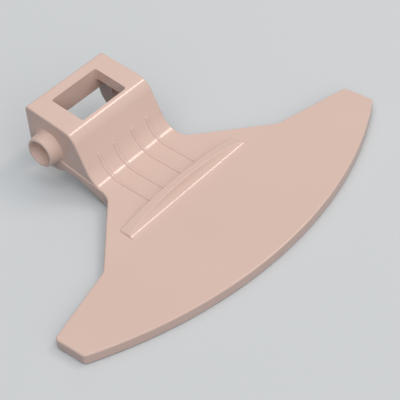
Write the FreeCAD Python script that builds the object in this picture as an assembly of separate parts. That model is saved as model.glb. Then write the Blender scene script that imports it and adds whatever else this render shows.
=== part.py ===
"""Washing machine door handle, moulded in one piece.

Seen in use, a crescent paddle is gripped behind the door, a neck rises from its hollow
side, and a hub with a rectangular window turns on a pin through two bosses.

Millimetres. While it is drawn, z = 0 is the flat top of the paddle and y = 0 the line
through the inner corners of its two tips. X runs across, -Y towards the outer arc, +Z up.
At the end the handle is moved so that the pivot axis, which is parallel to X, is the origin.
"""

import FreeCAD, Part
import math
import os

from FreeCAD import Vector

# Paddle, seen from above
SPAN = 124.0             # from tip to tip
TIP_EDGE = 10.0          # length of the straight edge that ends each tip
FRONT_REACH = 26.1       # from the inner tip corners to the front of the outer arc
WING_CORNER_X = 37.6     # from the middle to the corner where each wing turns to the neck
WING_CORNER_Y = 6.0
NECK_WIDTH = 32.0        # where the wings run into the neck
NECK_ROOT_Y = 24.0
HUB_WIDTH = 30.8         # at the back of the hub
TIP_ROUND = 1.5
WING_ROUND = 3.0
NECK_ROUND = 6.0

# Pivot
PIVOT_Y = 45.3
PIVOT_HEIGHT = 8.7       # above the top of the paddle
BOSS_SPAN = 39.0         # over the end faces of both bosses
BOSS_ROOT_RADIUS = 5.35  # where the tapered boss meets the cheek
BOSS_END_RADIUS = 4.45
BOSS_ROOT_BEVEL = 0.25
BOSS_EDGE_BEVEL = 0.25
BORE_RADIUS = 2.6
MOUTH_RADIUS = 3.75      # the bore opens to this radius at the boss's end face
MOUTH_DEPTH = 2.8
CHEEK_ROUND = 7.7        # the cheeks end in this radius around the pivot

# Top skin, seen from the side
NECK_START_Y = 6.5       # behind this line the neck rises from the plane of the paddle
NECK_RISE = 5.0          # degrees
SLOPE_FOOT_Y = 29.1
SLOPE_RISE = 67.0        # degrees
HUB_FRONT_HEIGHT = 16.8  # above the top of the paddle, where slope and hub top would meet
HUB_TILT = 9.3           # degrees, the hub's top rises towards its back
NECK_START_ROUND = 30.0
BEND_ROUND = 8.0
HUB_FRONT_ROUND = 5.6
HUB_BACK_ROUND = 1.2

# Underside, seen from the side
RIM_HEIGHT = 3.3
RAMP_FRONT_Y = 24.5      # here the lower edge leaves the plane of the rim
RAMP_BACK_Y = 35.0       # here it reaches the cheeks' lower edge
RAMP_BACK_HEIGHT = 1.3
RAMP_ROUND = 6.0
NOTCH_Y = 40.2           # where the cheeks' lower edge meets their round ends
NOTCH_HEIGHT = 2.1
NOTCH_ROUND = 1.5
ROUND_END_FRONT_Y = 42.9 # in front of this line the round ends rise to the notch

# Walls
WALL = 2.4               # rim and cheeks
SKIN = 2.1               # paddle and neck
SLOPE_WALL = 2.8
HUB_PLATE = 3.5
BACK_WALL_DROP = 7.6     # from the hub's top down to the lower edge of its back wall
EDGE_ROUND = 0.5         # all round the outer edges

# Window through the hub's top
WINDOW_WIDTH = 17.9
WINDOW_LENGTH = 11.6
BACK_WALL = 4.1          # from the window to the hub's back face
WINDOW_ROUND = 0.7

# Raised beads on the slope and the neck
BEAD_POSITIONS = (-9.85, -3.75, 3.75, 9.85)
BEAD_WIDTH = 1.4
BEAD_HEIGHT = 0.38
BEAD_TOP = 8.95          # height of their upper ends above the paddle
BEAD_END_ROUND = 0.65
BEAD_CREST_ROUND = 0.6

# Brow, the arched bar across the front ends of the beads
BROW_LENGTH = 48.0
BROW_BACK_Y = 12.5
BROW_FOOT_Y = 7.0        # the front cove starts tangent to the rising skin here
BROW_COVE = 3.4
BROW_MIDDLE_HEIGHT = 3.0
BROW_END_HEIGHT = 0.8
BROW_CREST_ROUND = 0.35
BROW_CORNER_ROUND = 0.7  # its back corners, seen from above

# Bands along the lower edge of the cheeks
BAND_WIDTH = 32.1        # over both bands
BAND_FRONT_Y = 25.6
BAND_FRONT_TOP = 1.9
BAND_BACK_Y = 42.5
BAND_BACK_TOP = 6.1
BAND_LIFT = 0.7          # from the cheek's lower edge to the band
BAND_EDGE_BEVEL = 0.25

# Stiffeners under the skin
STIFFENER = 1.6
STIFFENER_PITCH = 14.0
NECK_WEB_Y = 24.5

OVERCUT = 5.0            # how far cutters and drawn blocks run past what they trim
SEAT = 0.4               # how deep an added form is sunk into the skin that carries it


def side_point(y, z):
    """A point of the side view."""
    return Vector(0, y, z)


def rising(degrees):
    """The direction of a side-view line that rises to the back at this angle."""
    return side_point(math.cos(math.radians(degrees)), math.sin(math.radians(degrees)))


def crossing(start, direction, other_start, other_direction):
    """The point where two lines of the side view meet."""
    gap = other_start - start
    turn = direction.y * other_direction.z - direction.z * other_direction.y
    reach = (gap.y * other_direction.z - gap.z * other_direction.y) / turn
    return start + direction * reach


def skin_corners():
    """The corners of the top skin from the paddle's front to the hub's back."""
    neck_start = side_point(NECK_START_Y, 0)
    neck_rise = math.tan(math.radians(NECK_RISE)) * (SLOPE_FOOT_Y - NECK_START_Y)
    slope_foot = side_point(SLOPE_FOOT_Y, neck_rise)
    level = side_point(0, HUB_FRONT_HEIGHT)
    hub_front = crossing(slope_foot, rising(SLOPE_RISE), level, side_point(1, 0))
    back_face = side_point(PIVOT_Y + CHEEK_ROUND, 0)
    hub_back = crossing(hub_front, rising(HUB_TILT), back_face, side_point(0, 1))
    paddle_front = side_point(-FRONT_REACH - OVERCUT, 0)
    return [paddle_front, neck_start, slope_foot, hub_front, hub_back]


def sunk(corners, depths):
    """The same open path with each of its stretches moved down or back by its own depth."""
    along = [(b - a).normalize() for a, b in zip(corners, corners[1:])]
    inward = [side_point(t.z, -t.y) for t in along]
    path = [corners[0] + inward[0] * depths[0]]
    for i in range(1, len(along)):
        before = along[i - 1] * (depths[i] / along[i - 1].dot(inward[i]))
        after = along[i] * (depths[i - 1] / along[i].dot(inward[i - 1]))
        path.append(corners[i] + before + after)
    path.append(corners[-1] + inward[-1] * depths[-1])
    return path


def corner_arc(before, corner, after, radius):
    """The arc that rounds one corner, as its start, middle and end."""
    back = (before - corner).normalize()
    ahead = (after - corner).normalize()
    half_angle = back.getAngle(ahead) / 2
    reach = radius / math.tan(half_angle)
    middle = (back + ahead).normalize() * (radius / math.sin(half_angle) - radius)
    return corner + back * reach, corner + middle, corner + ahead * reach


def closed_outline(corners, radii):
    """A closed wire through these corners, with each one rounded whose radius isn't zero."""
    edges = []
    ends = []
    for i, corner in enumerate(corners):
        if radii[i] > 0:
            after = corners[(i + 1) % len(corners)]
            start, middle, end = corner_arc(corners[i - 1], corner, after, radii[i])
            edges.append(Part.Arc(start, middle, end).toShape())
            ends.append((start, end))
        else:
            ends.append((corner, corner))
    for i, (start, _) in enumerate(ends):
        edges.append(Part.makeLine(ends[i - 1][1], start))
    return Part.Wire(Part.__sortEdges__(edges))


def block_across(corners, radii, width, middle=0.0):
    """A side-view outline as a block of this width across X."""
    face = Part.Face(closed_outline(corners, radii))
    face.translate(Vector(middle - width / 2, 0, 0))
    return face.extrude(Vector(width, 0, 0))


def upright_edges(shape, x, y):
    """The upright edges that stand at this place and at its mirror image."""
    found = []
    for edge in shape.Edges:
        ends = [vertex.Point for vertex in edge.Vertexes]
        if all(math.hypot(abs(p.x) - x, p.y - y) < 0.01 for p in ends):
            found.append(edge)
    return found


def plan_block(floor, ceiling):
    """The handle's outline from above, as a block between two heights."""
    half = SPAN / 2
    back = PIVOT_Y + CHEEK_ROUND + OVERCUT
    right = [
        Vector(half, -TIP_EDGE, floor),
        Vector(half, 0, floor),
        Vector(WING_CORNER_X, WING_CORNER_Y, floor),
        Vector(NECK_WIDTH / 2, NECK_ROOT_Y, floor),
        Vector(HUB_WIDTH / 2, back, floor),
    ]
    left = [Vector(-p.x, p.y, p.z) for p in reversed(right)]
    front = Part.Arc(left[-1], Vector(0, -FRONT_REACH, floor), right[0]).toShape()
    wire = Part.Wire([front] + Part.makePolygon(right + left).Edges)
    block = Part.Face(wire).extrude(Vector(0, 0, ceiling - floor))
    for corner, radius in ((0, TIP_ROUND), (1, TIP_ROUND), (2, WING_ROUND), (3, NECK_ROUND)):
        edges = upright_edges(block, right[corner].x, right[corner].y)
        block = block.makeFillet(radius, edges)
    return block


def lower_corners():
    """The corners of the lower edge from the cheeks' round ends to the paddle's front."""
    cheek_floor = PIVOT_HEIGHT - CHEEK_ROUND
    return [
        side_point(PIVOT_Y + CHEEK_ROUND, cheek_floor),
        side_point(ROUND_END_FRONT_Y, cheek_floor),
        side_point(NOTCH_Y, NOTCH_HEIGHT),
        side_point(RAMP_BACK_Y, RAMP_BACK_HEIGHT),
        side_point(RAMP_FRONT_Y, -RIM_HEIGHT),
        side_point(-FRONT_REACH - OVERCUT, -RIM_HEIGHT),
    ]


def outer_form():
    """The full outer form: the outline from above cut to the outline from the side."""
    corners = skin_corners() + lower_corners()
    top_radii = [0, NECK_START_ROUND, BEND_ROUND, HUB_FRONT_ROUND, HUB_BACK_ROUND]
    lower_radii = [CHEEK_ROUND, RAMP_ROUND, NOTCH_ROUND, RAMP_ROUND, RAMP_ROUND, 0]
    side = block_across(corners, top_radii + lower_radii, SPAN + OVERCUT)
    plan = plan_block(-RIM_HEIGHT - OVERCUT, corners[4].z + OVERCUT)
    form = plan.common(side)
    return form.makeFillet(EDGE_ROUND, wall_edges(form))


def wall_edges(form):
    """The edges where the upright walls meet the top and the underside."""
    found = []
    for edge in form.Edges:
        faces = form.ancestorsOfType(edge, Part.Face)
        if len(faces) == 2 and is_wall(faces[0]) != is_wall(faces[1]):
            found.append(edge)
    return found


def is_wall(face):
    """Whether a face stands upright and wasn't cut by the side view."""
    u, v = face.Surface.parameter(face.CenterOfMass)
    normal = face.normalAt(u, v)
    return abs(normal.z) < 0.01 and not is_back(face, normal)


def is_back(face, normal):
    """Whether an upright face is the back face of the hub."""
    return normal.y > 0.99 and face.CenterOfMass.y > PIVOT_Y


def hollow(plan):
    """The open space under the skin, between the rim walls and the cheeks."""
    outer = skin_corners()
    top = sunk(outer, (SKIN, SKIN, SLOPE_WALL, HUB_PLATE))
    wall_face = side_point(PIVOT_Y + CHEEK_ROUND - BACK_WALL, 0)
    plate_back = crossing(top[3], rising(HUB_TILT), wall_face, side_point(0, 1))
    edge_height = outer[4].z - BACK_WALL_DROP
    back_y = PIVOT_Y + CHEEK_ROUND + OVERCUT
    floor = -RIM_HEIGHT - OVERCUT
    corners = top[:4] + [
        plate_back,
        side_point(wall_face.y, edge_height),
        side_point(back_y, edge_height),
        side_point(back_y, floor),
        side_point(top[0].y, floor),
    ]
    front_round = max(HUB_FRONT_ROUND - SLOPE_WALL, SKIN / 2)
    radii = [0, NECK_START_ROUND + SKIN, BEND_ROUND + SKIN, front_round, 0, 0, 0, 0, 0]
    side = block_across(corners, radii, SPAN)
    sole = min(plan.Faces, key=lambda face: face.CenterOfMass.z)
    inner = sole.makeOffset2D(-WALL)
    return inner.extrude(Vector(0, 0, plan.BoundBox.ZLength)).common(side)


def stiffeners():
    """Plates that stay standing in the hollow: one web across, ribs along the paddle."""
    floor = -RIM_HEIGHT
    height = RIM_HEIGHT + PIVOT_HEIGHT
    web_corner = Vector(-NECK_WIDTH, NECK_WEB_Y - STIFFENER / 2, floor)
    plates = [Part.makeBox(2 * NECK_WIDTH, STIFFENER, height, web_corner)]
    length = FRONT_REACH + NECK_WEB_Y
    count = int((SPAN / 2 - TIP_EDGE) / STIFFENER_PITCH)
    for i in range(-count, count + 1):
        corner = Vector(i * STIFFENER_PITCH - STIFFENER / 2, -FRONT_REACH, floor)
        plates.append(Part.makeBox(STIFFENER, length, height, corner))
    return plates


def window():
    """The cutter of the rectangular window through the hub's top."""
    back = PIVOT_Y + CHEEK_ROUND - BACK_WALL
    corner = Vector(-WINDOW_WIDTH / 2, back - WINDOW_LENGTH, PIVOT_HEIGHT)
    block = Part.makeBox(WINDOW_WIDTH, WINDOW_LENGTH, HUB_FRONT_HEIGHT + OVERCUT, corner)
    edges = upright_edges(block, WINDOW_WIDTH / 2, corner.y)
    edges += upright_edges(block, WINDOW_WIDTH / 2, back)
    return block.makeFillet(WINDOW_ROUND, edges)


def boss(side):
    """One tapered pivot boss with its bevelled root, on the right (1) or left (-1) cheek."""
    cheek = cheek_half_width(PIVOT_Y + BOSS_ROOT_RADIUS)
    edge = Vector(BOSS_SPAN / 2, BOSS_END_RADIUS, 0)
    foot = Vector(cheek, BOSS_ROOT_RADIUS, 0)
    taper = (edge - foot).normalize()
    start = Vector(cheek - SEAT, 0, 0)
    outline = Part.makePolygon([
        start,
        Vector(start.x, foot.y + BOSS_ROOT_BEVEL, 0),
        Vector(foot.x, foot.y + BOSS_ROOT_BEVEL, 0),
        foot + taper * BOSS_ROOT_BEVEL,
        edge - taper * BOSS_EDGE_BEVEL,
        edge - Vector(0, BOSS_EDGE_BEVEL, 0),
        Vector(edge.x, 0, 0),
        start,
    ])
    solid = Part.Face(outline).revolve(Vector(), Vector(1, 0, 0), 360)
    if side < 0:
        solid = solid.mirror(Vector(), Vector(1, 0, 0))
    solid.translate(side_point(PIVOT_Y, PIVOT_HEIGHT))
    return solid


def cheek_half_width(y):
    """Half the handle's width over the cheeks, which taper from the neck to the back."""
    back = PIVOT_Y + CHEEK_ROUND + OVERCUT
    share = (y - NECK_ROOT_Y) / (back - NECK_ROOT_Y)
    return (NECK_WIDTH + (HUB_WIDTH - NECK_WIDTH) * share) / 2


def bore():
    """The pin's hole through both bosses and cheeks, widened at its two mouths."""
    end = BOSS_SPAN / 2
    narrow = end - MOUTH_DEPTH
    outline = Part.makePolygon([
        Vector(0, 0, 0),
        Vector(0, BORE_RADIUS, 0),
        Vector(narrow, BORE_RADIUS, 0),
        Vector(end, MOUTH_RADIUS, 0),
        Vector(end + OVERCUT, MOUTH_RADIUS, 0),
        Vector(end + OVERCUT, 0, 0),
        Vector(0, 0, 0),
    ])
    half = Part.Face(outline).revolve(Vector(), Vector(1, 0, 0), 360)
    whole = half.fuse(half.mirror(Vector(), Vector(1, 0, 0))).removeSplitter()
    whole.translate(side_point(PIVOT_Y, PIVOT_HEIGHT))
    return whole


def bead(middle):
    """One raised bead that follows the skin from the slope over the bend into the brow."""
    _, neck_start, slope_foot, _, _ = skin_corners()
    top = crossing(slope_foot, rising(SLOPE_RISE), side_point(0, BEAD_TOP), side_point(1, 0))
    brow = side_point(BROW_BACK_Y - SEAT, 0)
    front = crossing(neck_start, rising(NECK_RISE), brow, side_point(0, 1))
    path = [front, slope_foot, top]
    outer = sunk(path, (-BEAD_HEIGHT, -BEAD_HEIGHT))
    inner = sunk(path, (SEAT, SEAT))
    radii = [0, BEND_ROUND - BEAD_HEIGHT, 0, 0, BEND_ROUND + SEAT, 0]
    solid = block_across(outer + inner[::-1], radii, BEAD_WIDTH, middle)
    end = [e for e in solid.Edges if is_along(e, outer[2] - inner[2])]
    solid = solid.makeFillet(BEAD_END_ROUND, end)
    crest = [e for e in solid.Edges if is_raised(e, path, BEAD_HEIGHT)]
    crest = [e for e in crest if not is_along(e, Vector(1, 0, 0))]
    return solid.makeFillet(BEAD_CREST_ROUND, crest)


def is_along(edge, direction):
    """Whether an edge is a straight line in this direction."""
    angle = edge.tangentAt(edge.FirstParameter).getAngle(direction)
    return edge.Curve.TypeId == "Part::GeomLine" and math.sin(angle) < 0.001


def is_raised(edge, path, height):
    """Whether both ends of an edge lie at this height above a path of the side view."""
    skin = Part.makePolygon(path)
    ends = [vertex.Point for vertex in edge.Vertexes]
    gaps = [skin.distToShape(Part.Vertex(0, p.y, p.z))[0] for p in ends]
    return all(abs(gap - height) < 0.01 for gap in gaps)


def brow():
    """The arched bar: a coved side profile trimmed by the arch seen from the front."""
    half = BROW_LENGTH / 2
    front_rise = math.tan(math.radians(NECK_RISE)) * (BROW_FOOT_Y - NECK_START_Y)
    foot = side_point(BROW_FOOT_Y, front_rise)
    middle = cove_point(foot, 45)
    top = cove_point(foot, 85)
    high = BROW_MIDDLE_HEIGHT + OVERCUT
    corners = [
        top,
        side_point(top.y, high),
        side_point(BROW_BACK_Y, high),
        side_point(BROW_BACK_Y, -SEAT),
        side_point(BROW_FOOT_Y, -SEAT),
        foot,
    ]
    cove = Part.Arc(foot, middle, top).toShape()
    profile = Part.Face(Part.Wire(Part.makePolygon(corners).Edges + [cove]))
    profile.translate(Vector(-half, 0, 0))
    bar = profile.extrude(Vector(BROW_LENGTH, 0, 0))
    bar = bar.makeFillet(BROW_CORNER_ROUND, upright_edges(bar, half, BROW_BACK_Y))
    left = Vector(-half, 0, BROW_END_HEIGHT)
    right = Vector(half, 0, BROW_END_HEIGHT)
    arch = Part.Arc(left, Vector(0, 0, BROW_MIDDLE_HEIGHT), right).toShape()
    sides = Part.makePolygon([right, Vector(half, 0, -OVERCUT), Vector(-half, 0, -OVERCUT), left])
    front_view = Part.Face(Part.Wire([arch] + sides.Edges))
    solid = bar.common(front_view.extrude(Vector(0, BROW_BACK_Y + OVERCUT, 0)))
    crown = max(solid.Faces, key=lambda face: face.CenterOfMass.z)
    return solid.makeFillet(BROW_CREST_ROUND, crown.Edges)


def cove_point(foot, degrees):
    """The point of the brow's cove where it has turned to this slope."""
    start = math.radians(NECK_RISE)
    turned = math.radians(degrees)
    reach = BROW_COVE * (math.sin(turned) - math.sin(start))
    height = BROW_COVE * (math.cos(start) - math.cos(turned))
    return foot + side_point(reach, height)


def band(side):
    """The raised band along the lower edge of the right (1) or left (-1) cheek."""
    lift = side_point(0, BAND_LIFT)
    ramp_front = side_point(RAMP_FRONT_Y, -RIM_HEIGHT) + lift
    ramp_back = side_point(RAMP_BACK_Y, RAMP_BACK_HEIGHT) + lift
    front = side_point(BAND_FRONT_Y, 0)
    corners = [
        crossing(ramp_front, ramp_back - ramp_front, front, side_point(0, 1)),
        ramp_back,
        side_point(NOTCH_Y, NOTCH_HEIGHT) + lift,
        side_point(BAND_BACK_Y, NOTCH_HEIGHT) + lift,
        side_point(BAND_BACK_Y, BAND_BACK_TOP),
        side_point(BAND_FRONT_Y, BAND_FRONT_TOP),
    ]
    depth = BAND_WIDTH / 2 - cheek_half_width(BAND_BACK_Y) + SEAT
    middle = side * (BAND_WIDTH - depth) / 2
    solid = block_across(corners, (0, RAMP_ROUND, 0, 0, 0, 0), depth, middle)
    face = max(solid.Faces, key=lambda f: side * f.CenterOfMass.x)
    return solid.makeChamfer(BAND_EDGE_BEVEL, face.Edges)


def handle():
    """The whole moulding, as one solid with the pivot axis at the origin."""
    body = outer_form()
    plan = plan_block(-RIM_HEIGHT - OVERCUT, body.BoundBox.ZMax + OVERCUT)
    space = hollow(plan)
    for plate in stiffeners():
        space = space.cut(plate)
    body = body.cut(space).cut(window())
    for side in (1, -1):
        body = body.fuse([boss(side), band(side)])
    body = body.fuse([bead(x) for x in BEAD_POSITIONS]).fuse(brow())
    body = body.cut(bore()).removeSplitter()
    body.translate(Vector(0, -PIVOT_Y, -PIVOT_HEIGHT))
    return body


def main():
    """Writes the handle and prints what it measures."""
    os.makedirs("parts", exist_ok=True)
    shape = handle()
    solid = shape.Solids[0]
    box = solid.optimalBoundingBox()
    print("solids", len(shape.Solids), "valid", solid.isValid())
    print("size", round(box.XLength, 2), round(box.YLength, 2), round(box.ZLength, 2))
    print("volume", round(solid.Volume), "centre", solid.CenterOfMass)
    solid.exportStep("parts/handle.step")


main()
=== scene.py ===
"""A washing machine door handle, one gloss moulding, lying on a pale studio floor.

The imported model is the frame. Lengths in it are metres, and the pivot axis is the X axis.
"""

import logging
import math
from dataclasses import dataclass, field

import bpy
from mathutils import Matrix, Vector


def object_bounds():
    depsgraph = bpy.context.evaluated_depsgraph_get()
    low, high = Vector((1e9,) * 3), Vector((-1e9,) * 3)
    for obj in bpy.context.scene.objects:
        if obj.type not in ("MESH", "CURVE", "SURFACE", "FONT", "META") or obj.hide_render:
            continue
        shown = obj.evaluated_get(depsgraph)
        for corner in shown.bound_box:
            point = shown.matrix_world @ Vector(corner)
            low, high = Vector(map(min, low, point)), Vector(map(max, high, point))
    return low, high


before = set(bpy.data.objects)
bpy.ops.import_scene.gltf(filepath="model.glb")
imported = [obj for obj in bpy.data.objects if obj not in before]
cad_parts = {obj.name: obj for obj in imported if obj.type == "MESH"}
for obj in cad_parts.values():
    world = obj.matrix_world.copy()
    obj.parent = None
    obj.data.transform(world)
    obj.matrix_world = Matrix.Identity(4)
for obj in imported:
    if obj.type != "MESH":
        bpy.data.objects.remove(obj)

CAD_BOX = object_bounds()
LOG = logging.getLogger("door_handle")

MM = 0.001  # one millimetre in metres
PHOTO_PIXELS = 400  # the picture is square
SENSOR_WIDTH = 36.0  # millimetres, Blender's usual sensor

# The sRGB curve: straight up to its toe's end, and a power above it.
SRGB_TOE_END = 0.04045
SRGB_TOE_SLOPE = 12.92
SRGB_OFFSET = 0.055
SRGB_POWER = 2.4

# The colour sockets of Blender's Mix node, which share their names with its other sockets.
MIX_A = 6
MIX_B = 7
MIX_RESULT = 2


def linear(code: str) -> tuple[float, float, float, float]:
    """Turns an sRGB hex colour into the linear values that Blender's sockets take.

    Args:
        code: The colour as six hex digits, such as "dcbeb1".

    Returns:
        Linear red, green and blue, with an alpha of 1.
    """
    values = []
    for start in (0, 2, 4):
        share = int(code[start:start + 2], 16) / 255
        low = share / SRGB_TOE_SLOPE
        high = ((share + SRGB_OFFSET) / (1 + SRGB_OFFSET)) ** SRGB_POWER
        values.append(low if share <= SRGB_TOE_END else high)
    return (values[0], values[1], values[2], 1.0)


def add_node(
    owner: bpy.types.Material | bpy.types.World,
    kind: str,
    settings: dict | None = None,
    links: dict | None = None,
) -> bpy.types.ShaderNode:
    """Adds one node to a material or to the world, with its settings and what feeds it.

    Args:
        owner: The material or world whose node tree gets the node.
        kind: Blender's name of the node type.
        settings: Values by input name or number, or by attribute name where no input has it.
        links: Sockets that feed the node, by input name or number.

    Returns:
        The new node.
    """
    tree = owner.node_tree
    node = tree.nodes.new(kind)
    for name, value in (settings or {}).items():
        if isinstance(name, str) and hasattr(node, name) and name not in node.inputs:
            setattr(node, name, value)
        else:
            node.inputs[name].default_value = value
    for name, socket in (links or {}).items():
        tree.links.new(socket, node.inputs[name])
    return node


def empty_material(name: str) -> bpy.types.Material:
    """Makes a material with an empty node tree.

    Args:
        name: The material's name.

    Returns:
        The new material.
    """
    material = bpy.data.materials.new(name)
    material.use_nodes = True
    material.node_tree.nodes.clear()
    return material


@dataclass(frozen=True)
class MouldedAbs:
    """Gloss ABS, injection moulded in a polished steel tool and tinted in the mass.

    To the eye it is a soft rosy beige. The polish gives a clear, narrow highlight on every
    rounded edge, and the skin has the slow waviness that shrinkage leaves over the ribs.
    """

    name: str = "moulded_gloss_abs"
    colour: str = "dcbeb1"
    pale_colour: str = "dfc2b6"
    ior: float = 1.53
    roughness: float = 0.13
    roughness_spread: float = 0.02
    flow_size_mm: float = 22.0
    flow_detail: float = 2.0
    waviness_size_mm: float = 9.0
    waviness_height_mm: float = 0.008
    waviness_detail: float = 1.0
    grain_size_mm: float = 0.5  # a polished tool's grain is 0.05 mm, too fine for this frame
    grain_height_mm: float = 0.0006
    grain_detail: float = 3.0
    noise_falloff: float = 0.5

    def build(self) -> bpy.types.Material:
        """Makes the shader: tint, gloss and relief, all laid out in the object's own space.

        Returns:
            The finished material.
        """
        material = empty_material(self.name)
        place = add_node(material, "ShaderNodeTexCoord").outputs["Object"]
        flow = self.noise(material, place, self.flow_size_mm, self.flow_detail)
        tint = add_node(
            material,
            "ShaderNodeMix",
            {"data_type": "RGBA", MIX_A: linear(self.colour), MIX_B: linear(self.pale_colour)},
            {"Factor": flow},
        )
        gloss = add_node(
            material,
            "ShaderNodeMapRange",
            {
                "To Min": self.roughness - self.roughness_spread,
                "To Max": self.roughness + self.roughness_spread,
            },
            {"Value": flow},
        )
        waves = self.noise(material, place, self.waviness_size_mm, self.waviness_detail)
        grain = self.noise(material, place, self.grain_size_mm, self.grain_detail)
        relief = add_node(
            material,
            "ShaderNodeBump",
            {"Strength": 1.0, "Distance": self.waviness_height_mm * MM},
            {"Height": waves},
        )
        fine_relief = add_node(
            material,
            "ShaderNodeBump",
            {"Strength": 1.0, "Distance": self.grain_height_mm * MM},
            {"Height": grain, "Normal": relief.outputs["Normal"]},
        )
        shader = add_node(
            material,
            "ShaderNodeBsdfPrincipled",
            {"IOR": self.ior},
            {
                "Base Color": tint.outputs[MIX_RESULT],
                "Roughness": gloss.outputs["Result"],
                "Normal": fine_relief.outputs["Normal"],
            },
        )
        add_node(
            material,
            "ShaderNodeOutputMaterial",
            links={"Surface": shader.outputs["BSDF"]},
        )
        return material

    def noise(
        self,
        material: bpy.types.Material,
        place: bpy.types.NodeSocket,
        size_mm: float,
        detail: float,
    ) -> bpy.types.NodeSocket:
        """Adds soft noise whose patches are about this wide.

        Args:
            material: The material that gets the noise.
            place: The coordinates that it is laid out in, in metres.
            size_mm: The width of one patch, in millimetres.
            detail: How many finer layers lie on it.

        Returns:
            The noise value's socket.
        """
        texture = add_node(
            material,
            "ShaderNodeTexNoise",
            {"Scale": 1 / (size_mm * MM), "Detail": detail, "Roughness": self.noise_falloff},
            {"Vector": place},
        )
        return texture.outputs["Fac"]


@dataclass(frozen=True)
class PaleFloor:
    """Matt coated paper in a pale grey, which takes a soft shadow and mirrors nothing.

    It looks pale, also in the handle's gloss. The light that it throws back at the handle is dim
    and bluish, so that the upright walls keep the shade that they have in the photograph.
    """

    name: str = "pale_matt_paper"
    colour: str = "d3d7da"
    bounce_colour: str = "46596c"
    roughness: float = 0.85

    def build(self) -> bpy.types.Material:
        """Makes the floor's plain shader.

        Returns:
            The finished material.
        """
        material = empty_material(self.name)
        rays = add_node(material, "ShaderNodeLightPath")
        seen = add_node(
            material,
            "ShaderNodeMix",
            {"data_type": "RGBA", MIX_A: linear(self.colour), MIX_B: linear(self.bounce_colour)},
            {"Factor": rays.outputs["Is Diffuse Ray"]},
        )
        shader = add_node(
            material,
            "ShaderNodeBsdfPrincipled",
            {"Roughness": self.roughness},
            {"Base Color": seen.outputs[MIX_RESULT]},
        )
        add_node(
            material,
            "ShaderNodeOutputMaterial",
            links={"Surface": shader.outputs["BSDF"]},
        )
        return material


@dataclass
class DoorHandle:
    """The handle: one moulding, which is the frame's only solid."""

    node: str = "handle"
    finish: MouldedAbs = field(default_factory=MouldedAbs)

    def dress(self) -> bpy.types.Object:
        """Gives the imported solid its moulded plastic.

        Returns:
            The dressed object.
        """
        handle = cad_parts[self.node]
        handle.material_slots[0].material = self.finish.build()
        LOG.info("%s: %d faces in %s", self.node, len(handle.data.polygons), self.finish.name)
        return handle


@dataclass
class Lamp:
    """One soft area lamp, placed by its direction from what it is aimed at, in metres."""

    name: str
    toward: Vector
    distance: float
    width: float
    height: float
    watts: float
    colour: str = "ffffff"
    long_side: Vector = field(default_factory=lambda: Vector((1, 0, 0)))

    def hang(self, target: Vector) -> bpy.types.Object:
        """Makes the lamp and points it at its target.

        Args:
            target: The point that it faces.

        Returns:
            The lamp's object.
        """
        light = bpy.data.lights.new(self.name, "AREA")
        light.shape = "RECTANGLE"
        light.size = self.width
        light.size_y = self.height
        light.energy = self.watts
        light.color = linear(self.colour)[:3]
        lamp = bpy.data.objects.new(self.name, light)
        bpy.context.scene.collection.objects.link(lamp)
        out = self.toward.normalized()
        up = out.cross(self.long_side).normalized()
        across = up.cross(out)
        turn = Matrix((across, up, out)).transposed()
        lamp.matrix_world = Matrix.Translation(target + out * self.distance) @ turn.to_4x4()
        return lamp


@dataclass
class Glow:
    """A soft bright patch of the sky, without an edge that the gloss could mirror.

    Its light falls away from its middle with the cosine of the angle, raised to its tightness.
    """

    toward: Vector
    strength: float
    tightness: float = 4.0

    def shine(
        self, world: bpy.types.World, way: bpy.types.NodeSocket, colour: str
    ) -> bpy.types.NodeSocket:
        """Adds the patch's light to the world's nodes.

        Args:
            world: The world that shines.
            way: The direction in which a ray leaves the scene.
            colour: The light's colour as six hex digits.

        Returns:
            The socket of the patch's light.
        """
        nearness = add_node(
            world,
            "ShaderNodeVectorMath",
            {"operation": "DOT_PRODUCT", 1: self.toward.normalized()},
            {0: way},
        )
        ahead = add_node(
            world,
            "ShaderNodeMath",
            {"operation": "MAXIMUM", 1: 0.0},
            {0: nearness.outputs["Value"]},
        )
        peak = add_node(
            world,
            "ShaderNodeMath",
            {"operation": "POWER", 1: self.tightness},
            {0: ahead.outputs["Value"]},
        )
        strength = add_node(
            world,
            "ShaderNodeMath",
            {"operation": "MULTIPLY", 1: self.strength},
            {0: peak.outputs["Value"]},
        )
        light = add_node(
            world,
            "ShaderNodeBackground",
            {"Color": linear(colour)},
            {"Strength": strength.outputs["Value"]},
        )
        return light.outputs["Background"]


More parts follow.
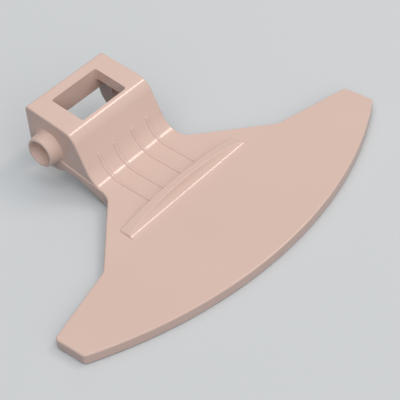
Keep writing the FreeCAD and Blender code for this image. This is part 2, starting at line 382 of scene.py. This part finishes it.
@dataclass
class Studio:
    """The floor, the lamp, the glowing sky and the camera.

    Lengths are metres and angles are degrees. The camera was fitted to the photograph's edges.
    """

    floor_size: float = 3.0
    floor_finish: PaleFloor = field(default_factory=PaleFloor)
    backdrop_colour: str = "cfd2d4"
    backdrop_strength: float = 1.0
    sky_colour: str = "ffffff"
    sky_strength: float = 0.05
    glows: list[Glow] = field(
        default_factory=lambda: [
            Glow(Vector((0, 0, 1)), strength=0.96),  # straight above
            Glow(Vector((-0.5, -0.5, 0.7)), strength=1.23),  # high, front left
            Glow(Vector((0, -0.95, 0.3)), strength=0.80),  # low, in front
            Glow(Vector((0.55, 0.7, 0.46)), strength=0.50),  # back right
        ]
    )
    long_lamp: Lamp = field(
        default_factory=lambda: Lamp(
            "long_lamp",
            toward=Vector((0.547, -0.261, 0.795)),
            distance=0.9,
            width=0.32,
            height=0.12,
            watts=1.1,
            colour="fff1e4",
        )
    )
    azimuth: float = -46.82
    elevation: float = 41.43
    roll: float = -5.38
    distance: float = 0.37155
    nearest: float = 0.01
    focal_pixels: float = 1364.9
    look_at: Vector = field(default_factory=lambda: Vector((-0.00123, -0.04183, -0.00870)))
    centre_pixel_row: float = 199.0

    def lay_floor(self, height: float) -> bpy.types.Object:
        """Lays the floor under the handle's rim.

        Args:
            height: The floor's height, which is the handle's lowest point.

        Returns:
            The floor's object.
        """
        half = self.floor_size / 2
        corners = [
            (-half, -half, height),
            (half, -half, height),
            (half, half, height),
            (-half, half, height),
        ]
        mesh = bpy.data.meshes.new("floor")
        mesh.from_pydata(corners, [], [(0, 1, 2, 3)])
        mesh.materials.append(self.floor_finish.build())
        floor = bpy.data.objects.new("floor", mesh)
        bpy.context.scene.collection.objects.link(floor)
        return floor

    def light_sky(self) -> bpy.types.World:
        """Fills the surroundings with a soft light that is brighter where the glows are.

        The camera and the gloss see a plain pale backdrop there, as pale as the floor.

        Returns:
            The world.
        """
        world = bpy.data.worlds.new("soft_sky")
        world.use_nodes = True
        world.node_tree.nodes.clear()
        way = add_node(world, "ShaderNodeTexCoord").outputs["Generated"]
        even_light = add_node(
            world,
            "ShaderNodeBackground",
            {"Color": linear(self.sky_colour), "Strength": self.sky_strength},
        )
        total = even_light.outputs["Background"]
        for glow in self.glows:
            patch = glow.shine(world, way, self.sky_colour)
            both = add_node(world, "ShaderNodeAddShader", links={0: total, 1: patch})
            total = both.outputs["Shader"]
        rays = add_node(world, "ShaderNodeLightPath")
        seen = rays.outputs["Is Camera Ray"]
        for kind in ("Is Glossy Ray", "Is Transmission Ray"):
            either = add_node(
                world,
                "ShaderNodeMath",
                {"operation": "MAXIMUM"},
                {0: seen, 1: rays.outputs[kind]},
            )
            seen = either.outputs["Value"]
        backdrop = add_node(
            world,
            "ShaderNodeBackground",
            {"Color": linear(self.backdrop_colour), "Strength": self.backdrop_strength},
        )
        surroundings = add_node(
            world,
            "ShaderNodeMixShader",
            links={0: seen, 1: total, 2: backdrop.outputs["Background"]},
        )
        add_node(
            world,
            "ShaderNodeOutputWorld",
            links={"Surface": surroundings.outputs["Shader"]},
        )
        bpy.context.scene.world = world
        return world

    def place_camera(self) -> bpy.types.Object:
        """Stands the camera where the photograph was taken from.

        Returns:
            The camera's object.
        """
        turn = math.radians(self.azimuth)
        rise = math.radians(self.elevation)
        lean = math.radians(self.roll)
        ground = math.cos(rise)
        back = Vector((math.sin(turn) * ground, -math.cos(turn) * ground, math.sin(rise)))
        level = Vector((math.cos(turn), math.sin(turn), 0))
        upright = back.cross(level)
        right = level * math.cos(lean) + upright * math.sin(lean)
        up = upright * math.cos(lean) - level * math.sin(lean)
        pixel = self.distance / self.focal_pixels
        aim = self.look_at + up * pixel * (self.centre_pixel_row - PHOTO_PIXELS / 2)
        data = bpy.data.cameras.new("photo_camera")
        data.sensor_width = SENSOR_WIDTH
        data.lens = self.focal_pixels / PHOTO_PIXELS * SENSOR_WIDTH
        data.clip_start = self.nearest
        camera = bpy.data.objects.new("photo_camera", data)
        bpy.context.scene.collection.objects.link(camera)
        place = Matrix.Translation(aim + back * self.distance)
        camera.matrix_world = place @ Matrix((right, up, back)).transposed().to_4x4()
        bpy.context.scene.camera = camera
        return camera


def main() -> None:
    """Dresses the handle, then builds the studio around it."""
    logging.basicConfig(level=logging.INFO, format="%(name)s: %(message)s")
    bpy.context.scene.view_settings.view_transform = "Standard"
    DoorHandle().dress()
    studio = Studio()
    floor = studio.lay_floor(CAD_BOX[0].z)
    LOG.info("floor at %.1f mm", floor.data.vertices[0].co.z / MM)
    lamp = studio.long_lamp.hang(studio.look_at)
    LOG.info("lamp %s: %.2f W", lamp.name, lamp.data.energy)
    LOG.info("sky %s with %d glows", studio.light_sky().name, len(studio.glows))
    camera = studio.place_camera()
    LOG.info("camera: %.1f mm lens", camera.data.lens)


if __name__ == "__main__":
    main()
